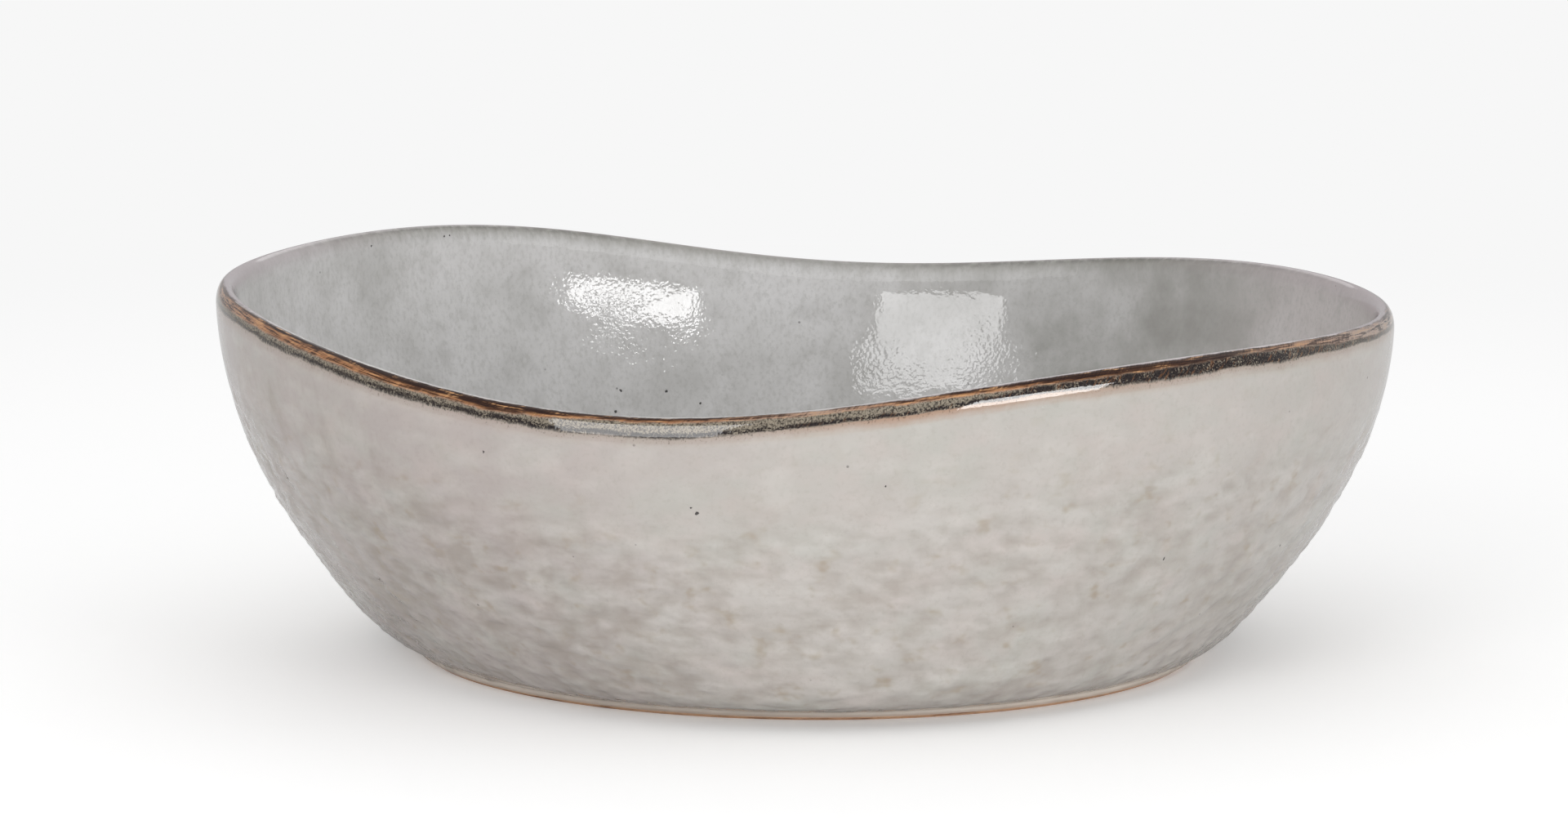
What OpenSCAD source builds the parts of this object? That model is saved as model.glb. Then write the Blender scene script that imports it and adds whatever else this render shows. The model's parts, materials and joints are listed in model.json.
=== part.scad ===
// Stoneware bowl with an oval plan and a wavy lip: a clay body under four coats of glaze.
// The origin is under the middle of the bowl, on the surface that it stands on, and Z is up.
// Every surface is lofted from one section, which is drawn at each angle round the bowl.

/* [Rim] */
// Width of the rim from left to right, over the glaze
rim_w = 249.5; // [200:0.5:320]
// Depth of the rim from front to back, over the glaze
rim_d = 226.5; // [180:0.5:290]
// Mean height of the rim's crest
rim_h = 73.7; // [50:0.1:100]

/* [Waves in the height of the rim] */
// One high and one low: how far the rim leans
lean_rise = 2.6; // [0:0.1:4]
// Direction of its high point
lean_turn = 183; // [0:1:359]
// Two highs and two lows: the saddle that shapes the lip most
saddle_rise = 5.1; // [0:0.1:7]
// Direction of its first high point
saddle_turn = 164; // [0:1:179]
// Three highs
triple_rise = 1; // [0:0.1:3]
// Direction of its first high point
triple_turn = 52; // [0:1:119]
// Four highs
quad_rise = 1.7; // [0:0.1:3]
// Direction of its first high point
quad_turn = 34; // [0:1:89]
// Five highs
ripple_rise = 0.5; // [0:0.1:2]
// Direction of its first high point
ripple_turn = 55; // [0:1:71]

/* [Waves in the plan of the rim] */
// Two bulges, which turn the oval a little
skew_swell = 2.9; // [0:0.1:4]
// Direction of the first bulge
skew_turn = 45; // [0:1:179]
// Three bulges
trefoil_swell = 0.4; // [0:0.1:4]
// Direction of the first bulge
trefoil_turn = 98; // [0:1:119]

/* [Base of the wall] */
// Width of the wall's base, just above the foot ring
base_w = 177; // [170:0.5:195]
// Depth of the wall's base
base_d = 184.5; // [170:0.5:195]
// Two bulges in the base's plan
base_skew = 1.9; // [0:0.1:4]
// Direction of the first bulge
base_skew_turn = 134; // [0:1:179]
// Three bulges in the base's plan
base_trefoil = 2.3; // [0:0.1:3]
// Direction of the first bulge
base_trefoil_turn = 34; // [0:1:119]
// Sharpness of the turn from the base in to the foot ring: less spreads the turn up the wall
heel = 38; // [20:1:45]

/* [Foot ring] */
// Width of the foot ring where it stands
foot_w = 164.5; // [150:0.5:166]
// Depth of the foot ring where it stands
foot_d = 160; // [145:0.5:163]
// Two bulges in the ring's plan
foot_skew = 1.4; // [0:0.1:2]
// Direction of the first bulge
foot_skew_turn = 135; // [0:1:179]
// Height of the ring's side under the wall
foot_h = 2.6; // [2:0.1:5]
// How far the ring's side leans out over that height
foot_lean = 1.2; // [0.2:0.1:3]
// Width of the face that the bowl stands on
ring_w = 5; // [3:0.1:9]
// Chamfer on the ring's bare outer edge
ring_chamfer = 0.4; // [0.2:0.1:0.8]
// Height of the bare clay on the ring's side
bare_h = 1; // [0.9:0.1:1.5]
// Depth of the recess inside the ring
recess_depth = 2.2; // [1.5:0.1:4]
// How far the recess's side slopes in
recess_slope = 1.6; // [0.5:0.1:4]

/* [Wall] */
// Thickness of the lip
lip_t = 4.3; // [3.5:0.1:6]
// Height of the lip's round, which is an upright half oval
lip_round_h = 3.6; // [2:0.1:5]
// Thickness of the wall where it starts to turn into the floor
low_wall_t = 5.5; // [4:0.1:8]
// Thickness of the floor over the recess
floor_t = 5.4; // [4:0.1:8]
// Fullness of the belly: 1 is a straight wall, and more swells it
belly = 1.91; // [1.5:0.01:2.5]

/* [Glaze] */
// Thickness of each coat
glaze_t = 0.5; // [0.3:0.05:0.8]
// How far the brown band reaches down the outside, under the round of the lip
band_out = 1.2; // [0.5:0.1:5]
// How far the brown band reaches down the inside, under the round of the lip
band_in = 0.6; // [0.3:0.1:3]
// Bare clay left between the underside's glaze and the recess's corner
wipe_w = 2; // [1:0.1:6]

/* [Smoothness] */
// Sections round the bowl
sections = 56; // [24:4:56]

/* [Hidden] */

// Clay sizes, which are the finished ones less a coat of glaze
clay_lip_t = lip_t - 2 * glaze_t;
clay_lip_r = clay_lip_t / 2;
clay_lip_round_h = lip_round_h - glaze_t;
clay_low_t = low_wall_t - 2 * glaze_t;
clay_recess_z = recess_depth + glaze_t;
clay_floor_z = clay_recess_z + floor_t - 2 * glaze_t;

// Places along each stretch of the section, as shares of its length.
// They crowd where the curve is tight and beside the edges of the coats.
low_wall_shares = [0, 0.012, 0.03, 0.055, 0.1, 0.18, 0.29, 0.41, 0.53, 0.65, 0.77, 0.88, 0.965, 1];
high_wall_shares = [0.5, 1];
lip_shares = [0.17, 0.35, 0.5, 0.65, 0.83, 1];
throat_shares = [1];
inner_wall_shares = [0.02, 0.07, 0.16, 0.29, 0.43, 0.57, 0.71, 0.85, 1];
bend_shares = [0.2, 0.4, 0.6, 0.8, 1];
floor_shares = [0.5, 1];
// Height on the outer wall, as a share, beside which the inner wall starts to turn into the floor
bend_start_share = 0.3;
// Step along a stretch over which its direction is measured
step_share = 0.001;

// Height of the rim's crest at an angle, over the clay
function crest_z(a) = rim_h - glaze_t
    + lean_rise * cos(a - lean_turn)
    + saddle_rise * cos(2 * (a - saddle_turn))
    + triple_rise * cos(3 * (a - triple_turn))
    + quad_rise * cos(4 * (a - quad_turn))
    + ripple_rise * cos(5 * (a - ripple_turn));

// Distance from the middle to an oval's edge at an angle
function oval_r(w, d, a) = w * d / (2 * sqrt(pow(d * cos(a), 2) + pow(w * sin(a), 2)));

// Distance from the middle to the rim at an angle, over the clay
function rim_r(a) = oval_r(rim_w, rim_d, a) - glaze_t
    + skew_swell * cos(2 * (a - skew_turn))
    + trefoil_swell * cos(3 * (a - trefoil_turn));

// Distance from the middle to the base of the wall at an angle
function base_r(a) = oval_r(base_w, base_d, a)
    + base_skew * cos(2 * (a - base_skew_turn))
    + base_trefoil * cos(3 * (a - base_trefoil_turn));

// Distance from the middle to the outer edge of the foot ring at an angle
function foot_r(a) = oval_r(foot_w, foot_d, a) + foot_skew * cos(2 * (a - foot_skew_turn));

// Height where the round of the lip starts, over the clay
function shoulder_z(a) = crest_z(a) - clay_lip_round_h;

// Points of the section are [distance from the middle, height], of the clay's surface.
// They run from the underside out over the foot, up the wall, over the lip and down to the floor.
// The wall swells from its base to the rim, and close above the ring it turns in to meet the ring.
function outer_wall(a, height_share) =
    let (swell = (rim_r(a) - base_r(a)) * (1 - pow(1 - height_share, belly)),
         turn_in = (base_r(a) - foot_r(a) - foot_lean) * pow(1 - height_share, heel))
    [
        base_r(a) + swell - turn_in,
        foot_h + (shoulder_z(a) - foot_h) * height_share
    ];

// Height share on the outer wall at which the brown band ends
function seam_share(a) = 1 - band_out / (shoulder_z(a) - foot_h);

function foot_side(a, s) = [
    foot_r(a) + foot_lean * (bare_h + (foot_h - bare_h) * s) / foot_h,
    bare_h + (foot_h - bare_h) * s
];

function low_wall(a, s) = outer_wall(a, s * seam_share(a));

function high_wall(a, s) = outer_wall(a, seam_share(a) + s * (1 - seam_share(a)));

function lip(a, s) = [
    rim_r(a) - clay_lip_r + clay_lip_r * cos(180 * s),
    shoulder_z(a) + clay_lip_round_h * sin(180 * s)
];

function throat(a, s) = [rim_r(a) - clay_lip_t, shoulder_z(a) - band_in * s];

// The inner wall stands off the outer one by a thickness that grows on the way down
function inner_wall(a, s) =
    let (top_share = 1 - band_in / (shoulder_z(a) - foot_h),
         height_share = top_share + (bend_start_share - top_share) * s,
         outer = outer_wall(a, height_share),
         out = facing(outer_wall(a, height_share - step_share), outer),
         t = clay_lip_t + (clay_low_t - clay_lip_t) * s)
    outer - out * t;

// The turn into the floor is one curve that leaves the wall and meets the floor along their own lines
function bend(a, s) =
    let (wall_end = inner_wall(a, 1),
         run = wall_end - inner_wall(a, 1 - step_share),
         corner = wall_end + run * (clay_floor_z - wall_end[1]) / run[1],
         floor_end = corner - [norm(corner - wall_end), 0])
    pow(1 - s, 2) * wall_end + 2 * s * (1 - s) * corner + pow(s, 2) * floor_end;

function floor_line(a, s) = [bend(a, 1)[0] * (1 - s), clay_floor_z];

function recess_r(a) = foot_r(a) - ring_w - recess_slope;

function underside(a, s) = [(recess_r(a) - wipe_w) * s, clay_recess_z];

// Unit vector that faces out of the clay, square to the line from p to q
function facing(p, q) =
    let (run = q - p)
    [run[1], -run[0]] / norm(run);

// One stretch of the section by its number, so that its direction can be measured
function stretch(k, a, s) =
    k == 0 ? underside(a, s) :
    k == 1 ? foot_side(a, s) :
    k == 2 ? low_wall(a, s) :
    k == 3 ? high_wall(a, s) :
    k == 4 ? lip(a, s) :
    k == 5 ? throat(a, s) :
    k == 6 ? inner_wall(a, s) :
    k == 7 ? bend(a, s) :
    floor_line(a, s);

// The same place on top of a coat of glaze
function glazed(k, a, s) =
    let (before = stretch(k, a, max(0, s - step_share)),
         after = stretch(k, a, min(1, s + step_share)))
    stretch(k, a, s) + glaze_t * facing(before, after);

// The places that a node covers, each a stretch's number and a share of it
function places(k, shares) = [for (s = shares) [k, s]];

underside_places = places(0, [0, 0.5, 1]);
outside_places = concat(places(1, [0, 0.5]), places(2, low_wall_shares));
rim_places = concat(
    places(2, [1]),
    places(3, high_wall_shares),
    places(4, lip_shares),
    places(5, throat_shares)
);
inside_places = concat(
    places(5, throat_shares),
    places(6, inner_wall_shares),
    places(7, bend_shares),
    places(8, floor_shares)
);

function clay_line(a, spots) = [for (p = spots) stretch(p[0], a, p[1])];
function glaze_line(a, spots) = [for (p = spots) glazed(p[0], a, p[1])];
function backwards(line) = [for (i = [len(line) - 1:-1:0]) line[i]];
function tail(line) = [for (i = [1:len(line) - 1]) line[i]];

// Section of the clay body, from the middle of its underside to the middle of its floor
function body_section(a) = concat(
    [[0, clay_recess_z], [recess_r(a), clay_recess_z]],
    [[foot_r(a) - ring_w, 0], [foot_r(a) - ring_chamfer, 0]],
    [[foot_r(a) + foot_lean * ring_chamfer / foot_h, ring_chamfer]],
    clay_line(a, outside_places),
    clay_line(a, tail(rim_places)),
    clay_line(a, tail(inside_places))
);

// Section of a coat: along its own surface, then back along the clay
function coat_section(a, spots) = concat(glaze_line(a, spots), backwards(clay_line(a, spots)));

function angle(j) = 360 * j / sections;

// Points of place i of every section, as one ring round the bowl
function ring(lines, i) = [
    for (j = [0:sections - 1])
        [lines[j][i][0] * cos(angle(j)), lines[j][i][0] * sin(angle(j)), lines[j][i][1]]
];

// Two facets between rings that start at points p and q. The second run of a coat lies on the clay, and
// its facets lean the other way, because it is met in the opposite order.
function band(p, q, swapped) = [
    for (j = [0:sections - 1])
        let (k = (j + 1) % sections)
        each swapped
            ? [[p + j, q + j, p + k], [p + k, q + j, q + k]]
            : [[p + j, q + j, q + k], [p + j, q + k, p + k]]
];

// Solid whose sections start and end on the axis, such as the body
module capped_loft(lines, turn_back) {
    last = len(lines[0]) - 1;
    rings = last - 1;
    points = concat(
        [[0, 0, lines[0][0][1]]],
        [for (i = [1:last - 1]) each ring(lines, i)],
        [[0, 0, lines[0][last][1]]]
    );
    top = len(points) - 1;
    start = 1 + (rings - 1) * sections;
    faces = concat(
        [for (j = [0:sections - 1]) [0, 1 + j, 1 + (j + 1) % sections]],
        [for (i = [0:rings - 2]) each band(1 + i * sections, 1 + (i + 1) * sections, i + 1 >= turn_back)],
        [for (j = [0:sections - 1]) [start + j, top, start + (j + 1) % sections]]
    );
    polyhedron(points, faces);
}

// Solid whose sections are closed loops, such as the coat on the lip
module looped_loft(lines, turn_back) {
    count = len(lines[0]);
    points = [for (i = [0:count - 1]) each ring(lines, i)];
    faces = [for (i = [0:count - 1]) each band(i * sections, (i + 1) % count * sections, i >= turn_back)];
    polyhedron(points, faces);
}

module stoneware_body() {
    lines = [for (j = [0:sections - 1]) body_section(angle(j))];
    color([0.72, 0.5, 0.36])
        capped_loft(lines, len(lines[0]));
}

module outside_glaze() {
    lines = [for (j = [0:sections - 1]) coat_section(angle(j), outside_places)];
    color([0.74, 0.72, 0.7])
        looped_loft(lines, len(outside_places));
}

module rim_glaze() {
    lines = [for (j = [0:sections - 1]) coat_section(angle(j), rim_places)];
    color([0.33, 0.22, 0.14])
        looped_loft(lines, len(rim_places));
}

// The inside's coat runs in over its own surface and back out along the clay, both to the axis
module inside_glaze() {
    lines = [for (j = [0:sections - 1])
        concat(backwards(clay_line(angle(j), inside_places)), glaze_line(angle(j), inside_places))];
    color([0.68, 0.7, 0.69])
        capped_loft(lines, len(inside_places));
}

module underside_glaze() {
    lines = [for (j = [0:sections - 1])
        concat(glaze_line(angle(j), underside_places), backwards(clay_line(angle(j), underside_places)))];
    color([0.7, 0.7, 0.67])
        capped_loft(lines, len(underside_places));
}

stoneware_body();
outside_glaze();
rim_glaze();
inside_glaze();
underside_glaze();
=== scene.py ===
"""Dresses a wavy-rimmed stoneware bowl in its glazes, and sets it in a plain studio."""

import json
import math

import bmesh
import bpy
import numpy as np
from bpy.props import FloatProperty, FloatVectorProperty, IntProperty, PointerProperty
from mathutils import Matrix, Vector
from mathutils.kdtree import KDTree

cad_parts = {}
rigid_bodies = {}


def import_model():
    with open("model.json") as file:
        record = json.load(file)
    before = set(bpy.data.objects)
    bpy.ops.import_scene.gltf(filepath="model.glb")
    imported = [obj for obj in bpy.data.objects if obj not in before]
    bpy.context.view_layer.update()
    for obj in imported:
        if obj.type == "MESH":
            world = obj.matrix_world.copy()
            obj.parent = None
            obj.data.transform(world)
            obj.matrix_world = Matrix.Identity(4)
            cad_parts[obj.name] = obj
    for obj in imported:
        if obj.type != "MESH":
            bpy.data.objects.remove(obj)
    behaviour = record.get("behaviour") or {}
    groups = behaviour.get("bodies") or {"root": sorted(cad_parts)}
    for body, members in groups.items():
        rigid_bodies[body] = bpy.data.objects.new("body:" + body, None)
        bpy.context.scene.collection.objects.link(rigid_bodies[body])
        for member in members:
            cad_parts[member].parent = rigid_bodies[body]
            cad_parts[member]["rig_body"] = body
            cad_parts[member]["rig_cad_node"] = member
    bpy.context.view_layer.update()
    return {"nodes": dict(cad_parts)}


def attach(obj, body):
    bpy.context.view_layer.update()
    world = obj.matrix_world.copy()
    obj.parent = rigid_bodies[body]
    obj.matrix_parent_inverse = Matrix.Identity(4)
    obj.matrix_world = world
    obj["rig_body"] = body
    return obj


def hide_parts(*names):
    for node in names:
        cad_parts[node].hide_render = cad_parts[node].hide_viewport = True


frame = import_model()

bl_info = {
    "name": "Wavy-rimmed stoneware bowl",
    "version": (1, 0, 0),
    "blender": (4, 5, 0),
    "location": "View3D > Sidebar > Bowl",
    "description": "Glazes a stoneware bowl with a brown lip, and sets up a studio for it",
    "category": "Object",
}

MM = 0.001
# Corners nearer than this are one corner
SAME_PLACE = 0.01 * MM
# Edges that bend more than this stay crisp when a piece is subdivided
CRISP = math.radians(33)
# Edges that bend more than this are shaded as crisp
SHADED_CRISP = math.radians(40)
# How crisp the corners of the underside's coat stay, from 0 to 1
UNDERSIDE_CREASE = 0.6
# The share of a coat's faces that stay when its hidden side is thinned out
FACES_KEPT = 0.54
# Radius of the cylinder on which patterns of the glaze are laid out round the bowl
WRAP_R = 125 * MM
# How far the band's dashes run round the bowl, as a share of how far they run down
DASH_LEAN = 0.9
# The underside is glazed like the outside this far below the crest
UNDERSIDE_DOWN = 40 * MM
# The longest distance from the crest in the table of the band, in mm
BAND_REACH = 5
# The band on the lip at some directions round the bowl, in degrees. Four distances from the crest, in mm,
# say where the umber and the amber end, and where the coal starts and ends. Then come the strengths of
# five colours, from 0 to 1: lilac, umber, amber, coal and sand.
BAND = (
    (0, 1.3, 3.2, 3.4, 4.2, 0.9, 0.4, 0.35, 0.5, 0.3),
    (40, 1.4, 2.8, 3.4, 4.2, 0.5, 0.8, 0.9, 0.8, 0.3),
    (90, 1.5, 2.6, 3.4, 4.2, 0.3, 0.9, 1.0, 0.9, 0.3),
    (150, 1.3, 2.8, 3.6, 4.3, 0.4, 0.8, 0.9, 0.8, 0.3),
    (180, 1.2, 2.9, 3.8, 4.6, 0.9, 0.5, 0.35, 0.4, 0.2),
    (196, 1.2, 3.0, 3.9, 4.7, 0.6, 0.7, 0.8, 0.6, 0.2),
    (208, 1.3, 2.9, 3.9, 4.8, 0.1, 1.0, 1.0, 0.8, 0.2),
    (222, 1.5, 2.8, 3.8, 4.8, 0.0, 1.0, 1.0, 0.9, 0.2),
    (233, 1.9, 2.6, 3.6, 4.7, 0.0, 1.0, 1.0, 0.9, 0.2),
    (239, 2.4, 2.8, 3.3, 4.6, 0.0, 1.0, 1.0, 1.0, 0.2),
    (245, 1.4, 2.0, 4.0, 5.0, 0.0, 1.0, 1.0, 1.0, 0.2),
    (256, 1.1, 1.7, 4.1, 5.0, 0.0, 0.9, 1.0, 1.0, 0.2),
    (265, 0.9, 1.7, 3.6, 4.5, 0.0, 0.8, 0.8, 1.0, 0.3),
    (272, 0.6, 1.7, 3.1, 4.0, 0.3, 0.3, 0.6, 1.0, 0.6),
    (279, 0.8, 1.6, 3.3, 4.1, 0.4, 0.7, 0.9, 1.0, 1.0),
    (286, 1.2, 1.9, 3.1, 4.0, 0.5, 0.9, 1.0, 1.0, 1.0),
    (294, 1.5, 2.1, 2.4, 3.9, 0.6, 1.0, 1.0, 1.0, 1.0),
    (301, 2.2, 2.4, 2.5, 4.5, 0.6, 1.0, 1.0, 1.0, 0.7),
    (310, 2.2, 2.3, 2.4, 4.7, 0.6, 0.9, 1.0, 1.0, 0.4),
    (318, 2.0, 2.0, 2.0, 4.4, 0.7, 1.0, 0.6, 1.0, 0.3),
    (325, 1.1, 1.7, 1.9, 4.6, 0.8, 0.6, 0.8, 1.0, 0.3),
    (332, 1.0, 2.6, 2.8, 4.3, 0.9, 0.5, 0.7, 0.8, 0.3),
    (342, 1.0, 3.2, 3.2, 4.2, 0.9, 0.5, 0.4, 0.6, 0.3),
    (360, 1.3, 3.2, 3.4, 4.2, 0.9, 0.4, 0.35, 0.5, 0.3),
)
# Iron specks in the glaze: the direction of each in degrees, its distance from the crest and its radius in mm
SPECKS = (
    (113.6, -35.8, 0.45),
    (107.6, -34.6, 0.5),
    (103.3, -36.3, 0.4),
    (114.6, -40.8, 0.5),
    (135.7, -3.3, 0.3),
    (134.9, -3.3, 0.3),
    (146.8, -4.0, 0.3),
    (236.7, 11.6, 0.35),
    (258.7, 20.5, 0.45),
    (258.1, 19.2, 0.3),
    (278.1, 18.1, 0.35),
    (312.6, 44.4, 0.4),
    (335.1, 48.1, 0.35),
)
# Softboxes, as seen from the back of the bowl's inside: the direction from the front, the height over the
# horizon and the clockwise tilt, in degrees, the width and height in metres, how bright each lights the bowl,
# and how bright its reflection is
SOFTBOXES = (
    ("right softbox", (39.3, 3.9, -14), (0.545, 0.285), 9.6, 10.8),
    ("left softbox", (-21.5, 14.6, 0), (0.62, 0.82), 3.15, 4.9),
    ("back softbox", (180, 40, 0), (1.2, 0.8), 0.8, 0.8),
)
# The place that the softboxes look at, high on the back of the inside, and how far from it they hang
LIT_PLACE = Vector((0, 100 * MM, 60 * MM))
LIGHT_AWAY = 1.32
GLARE_AWAY = 1.3
# The floor's radius, and where the floor in the camera's view starts and stops turning into plain backdrop
FLOOR_R = 6
FLOOR_FADE = (0.2, 0.6)


def paint(red, green, blue):
    """A colour as it is seen on a screen, from 0 to 255, as Blender's linear colour."""
    shares = [c / 255 for c in (red, green, blue)]
    return tuple(c / 12.92 if c <= 0.04045 else ((c + 0.055) / 1.055) ** 2.4 for c in shares)


# Settings


def length(name, description, default):
    return FloatProperty(name=name, description=description, default=default, unit="LENGTH", precision=5)


def angle(name, description, degrees):
    return FloatProperty(name=name, description=description, default=math.radians(degrees), unit="ROTATION")


def number(name, description, default):
    return FloatProperty(name=name, description=description, default=default)


def colour(name, description, default):
    return FloatVectorProperty(
        name=name, description=description, default=default, subtype="COLOR", size=3, min=0, max=1
    )


class BowlShape(bpy.types.PropertyGroup):
    """Relief of the glazed surface"""

    smoothing: IntProperty(name="Smoothing", description="Subdivisions of the glazed skin", default=3)
    coat: length("Coat", "Thickness of the glaze", 0.49 * MM)
    dent_w: length("Dent width", "Half the distance between dents round the bowl", 4.2 * MM)
    dent_h: length("Dent height", "Half the distance between dents up the wall", 2.6 * MM)
    dent_depth: length("Dent depth", "Relief of the dents", 0.8 * MM)
    dent_start: length("Dent start", "From the crest down to where the dents begin", 17 * MM)
    dent_full: length("Dents full", "From the crest down to where the dents are at their deepest", 33 * MM)
    foot_start: length("Foot start", "Height over the table at which the dents end", 3 * MM)
    foot_full: length("Foot full", "Height over the table at which the dents are at their deepest", 7 * MM)
    swell_w: length("Swell width", "Half the distance between the broad swells", 13 * MM)
    swell_depth: length("Swell depth", "Relief of the broad swells", 0.35 * MM)


class BowlColours(bpy.types.PropertyGroup):
    """Colours of the glaze and the clay"""

    cream: colour("Cream grey", "Outside, where the glaze lies thick", paint(188, 183, 178))
    mauve: colour("Mauve grey", "Outside, on the left", paint(180, 171, 168))
    sage: colour("Sage grey", "Cool clouds outside", paint(183, 183, 176))
    rose: colour("Rose grey", "Warm clouds outside", paint(194, 183, 178))
    pearl: colour("Pearl", "Pale clouds outside", paint(202, 198, 193))
    # The dent colour is partly painted shade: it darkens the sunken dents and a strip under the band
    dent: colour("Dent", "Bottom of the dents, where the glaze lies thin", paint(158, 149, 140))
    ochre: colour("Ochre", "Small stains outside", paint(158, 143, 120))
    # Painted light: the foot ring's side is painted near white to lift the shade under the overhanging wall
    foot_side_painted_light: colour("Milk", "Thick glaze on the side of the foot ring", paint(232, 222, 211))
    # Partly painted light: the inside's greys are painted lighter than the glaze is, to make up for the shade
    # in the bowl's hollow
    cool: colour("Cool grey", "Inside", paint(215, 214, 213))
    mist: colour("Mist", "Pale clouds inside", paint(224, 223, 223))
    # Slate is also the painted shade on the right of the inside wall
    slate: colour("Slate", "Dark clouds inside", paint(155, 154, 149))
    blush: colour("Blush", "Inside, on the right", paint(200, 188, 186))
    # Lilac is partly painted light: a highlight on the crest and a reflection at the lip's ends
    lilac: colour("Lilac", "Along the crest of the lip", paint(186, 173, 177))
    fern: colour("Fern", "Grey-green runs under the crest, inside", paint(130, 127, 117))
    umber: colour("Umber", "Dark line beside the crest", paint(42, 25, 21))
    amber: colour("Amber", "Where the glaze breaks over the lip", paint(158, 108, 69))
    gold: colour("Gold", "Palest streaks in the amber", paint(208, 160, 112))
    olive: colour("Olive", "Clear glaze under the amber", paint(139, 129, 112))
    coal: colour("Coal", "Dark edge of the band", paint(34, 28, 30))
    sand: colour("Sand", "Warm edge below the band", paint(170, 138, 115))
    clay: colour("Clay", "Bare clay of the foot", paint(222, 184, 152))
    rust: colour("Rust", "Iron in the clay", paint(132, 84, 58))


class BowlStudio(bpy.types.PropertyGroup):
    """Camera and light"""

    rise: angle("Camera rise", "Height of the camera over the horizon", 9.42)
    distance: length("Camera distance", "From the camera to the middle of the picture", 1.8)
    view_w: length("View width", "Width of the picture at the bowl", 332.9 * MM)
    aim: FloatVectorProperty(
        name="Aim",
        description="Point in the middle of the picture",
        default=(-4.7 * MM, 0, 49.45 * MM),
        unit="LENGTH",
    )
    fill: number("Fill", "Brightness of the light from straight above, which fades towards the horizon", 0.85)
    gloom: number("Gloom", "What reflections show of the studio on the camera's side", 0.22)
    haze: number("Haze", "What reflections show of the studio behind the bowl", 0.5)
    floor_glow: number("Floor glow", "What the camera sees of the floor beyond its lit colour", 0.225)
    floor_gloom: number("Floor gloom", "How much darker reflections show the floor, from 0 to 1", 0.12)
    backdrop: colour("Backdrop", "Floor and background as the camera sees them", paint(247, 247, 247))


# Modelling


def pick(*pieces):
    """Selects these objects alone, and makes the first one active."""
    if bpy.context.object and bpy.context.object.mode != "OBJECT":
        bpy.ops.object.mode_set(mode="OBJECT")
    bpy.ops.object.select_all(action="DESELECT")
    for piece in pieces:
        piece.select_set(True)
    bpy.context.view_layer.objects.active = pieces[0]


def merged_copy(node, name):
    """A copy of a CAD node whose triangles share their corners."""
    pick(frame["nodes"][node])
    bpy.ops.object.duplicate()
    piece = bpy.context.active_object
    piece.name = piece.data.name = name
    bpy.ops.object.parent_clear(type="CLEAR_KEEP_TRANSFORM")
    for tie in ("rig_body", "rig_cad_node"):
        del piece[tie]
    bpy.ops.mesh.customdata_custom_splitnormals_clear()
    bpy.ops.object.mode_set(mode="EDIT")
    bpy.ops.mesh.select_all(action="SELECT")
    bpy.ops.mesh.remove_doubles(threshold=SAME_PLACE)
    bpy.ops.object.mode_set(mode="OBJECT")
    piece.data.materials.clear()
    return piece


def corners(mesh):
    """Places of a mesh's vertices, one row each."""
    places = np.empty(len(mesh.vertices) * 3, np.float32)
    mesh.vertices.foreach_get("co", places)
    return places.reshape(-1, 3).astype(float)


def loft_lines(mesh):
    """The sections of a loft, each as the run of its corners from its lower end on. The axis is left out."""
    places = corners(mesh)
    turn = np.arctan2(places[:, 1], places[:, 0]) % (2 * math.pi)
    fineness = 1000
    section = np.round(turn * fineness).astype(int) % round(2 * math.pi * fineness)
    section[np.hypot(places[:, 0], places[:, 1]) < MM] = -1
    beside = {i: [] for i in np.where(section >= 0)[0]}
    for edge in mesh.edges:
        a, b = edge.vertices
        if section[a] == section[b] and section[a] >= 0:
            beside[a].append(b)
            beside[b].append(a)
    lines = []
    for first in [i for i in beside if len(beside[i]) == 1]:
        line = [first]
        while len(line) == 1 or len(beside[line[-1]]) == 2:
            line.append(next(i for i in beside[line[-1]] if i not in line[-2:]))
        if places[line[0], 2] < places[line[-1], 2]:
            lines.append(line)
    if len({len(line) for line in lines}) != 1 or sum(map(len, lines)) != len(beside):
        raise RuntimeError("the sections of the loft aren't clean lines")
    return lines


def make_quads(piece):
    """Takes the diagonals out of a loft's facets, so that it subdivides evenly."""
    place = {i: (k, row) for k, line in enumerate(loft_lines(piece.data)) for row, i in enumerate(line)}
    pick(piece)
    bpy.ops.object.mode_set(mode="EDIT")
    bpy.ops.mesh.select_mode(type="EDGE")
    bpy.ops.mesh.select_all(action="DESELECT")
    mesh = bmesh.from_edit_mesh(piece.data)
    for edge in mesh.edges:
        a, b = (place.get(corner.index) for corner in edge.verts)
        edge.select = bool(a and b and a[0] != b[0] and a[1] != b[1])
    bmesh.update_edit_mesh(piece.data)
    bpy.ops.mesh.dissolve_edges(use_verts=False)
    bpy.ops.object.mode_set(mode="OBJECT")


def crease_corners(piece, value):
    """Keeps the piece's corners crisp when it is subdivided, wholly so at a value of 1."""
    pick(piece)
    bpy.ops.object.mode_set(mode="EDIT")
    bpy.ops.mesh.select_mode(type="EDGE")
    bpy.ops.mesh.select_all(action="DESELECT")
    bpy.ops.mesh.edges_select_sharp(sharpness=CRISP)
    bpy.ops.transform.edge_crease(value=value)
    bpy.ops.object.mode_set(mode="OBJECT")


def shape_with(piece, kind, **settings):
    """Adds a modifier with these settings, and applies it."""
    pick(piece)
    modifier = piece.modifiers.new(kind.title(), kind)
    for key, value in settings.items():
        setattr(modifier, key, value)
    bpy.ops.object.modifier_apply(modifier=modifier.name)


def subdivide(piece, levels):
    shape_with(piece, "SUBSURF", levels=levels, render_levels=levels)


def normals(mesh):
    """Normals of a mesh's vertices, one row each."""
    facing = np.empty(len(mesh.vertices) * 3, np.float32)
    mesh.vertex_normals.foreach_get("vector", facing)
    return facing.reshape(-1, 3).astype(float)


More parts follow.
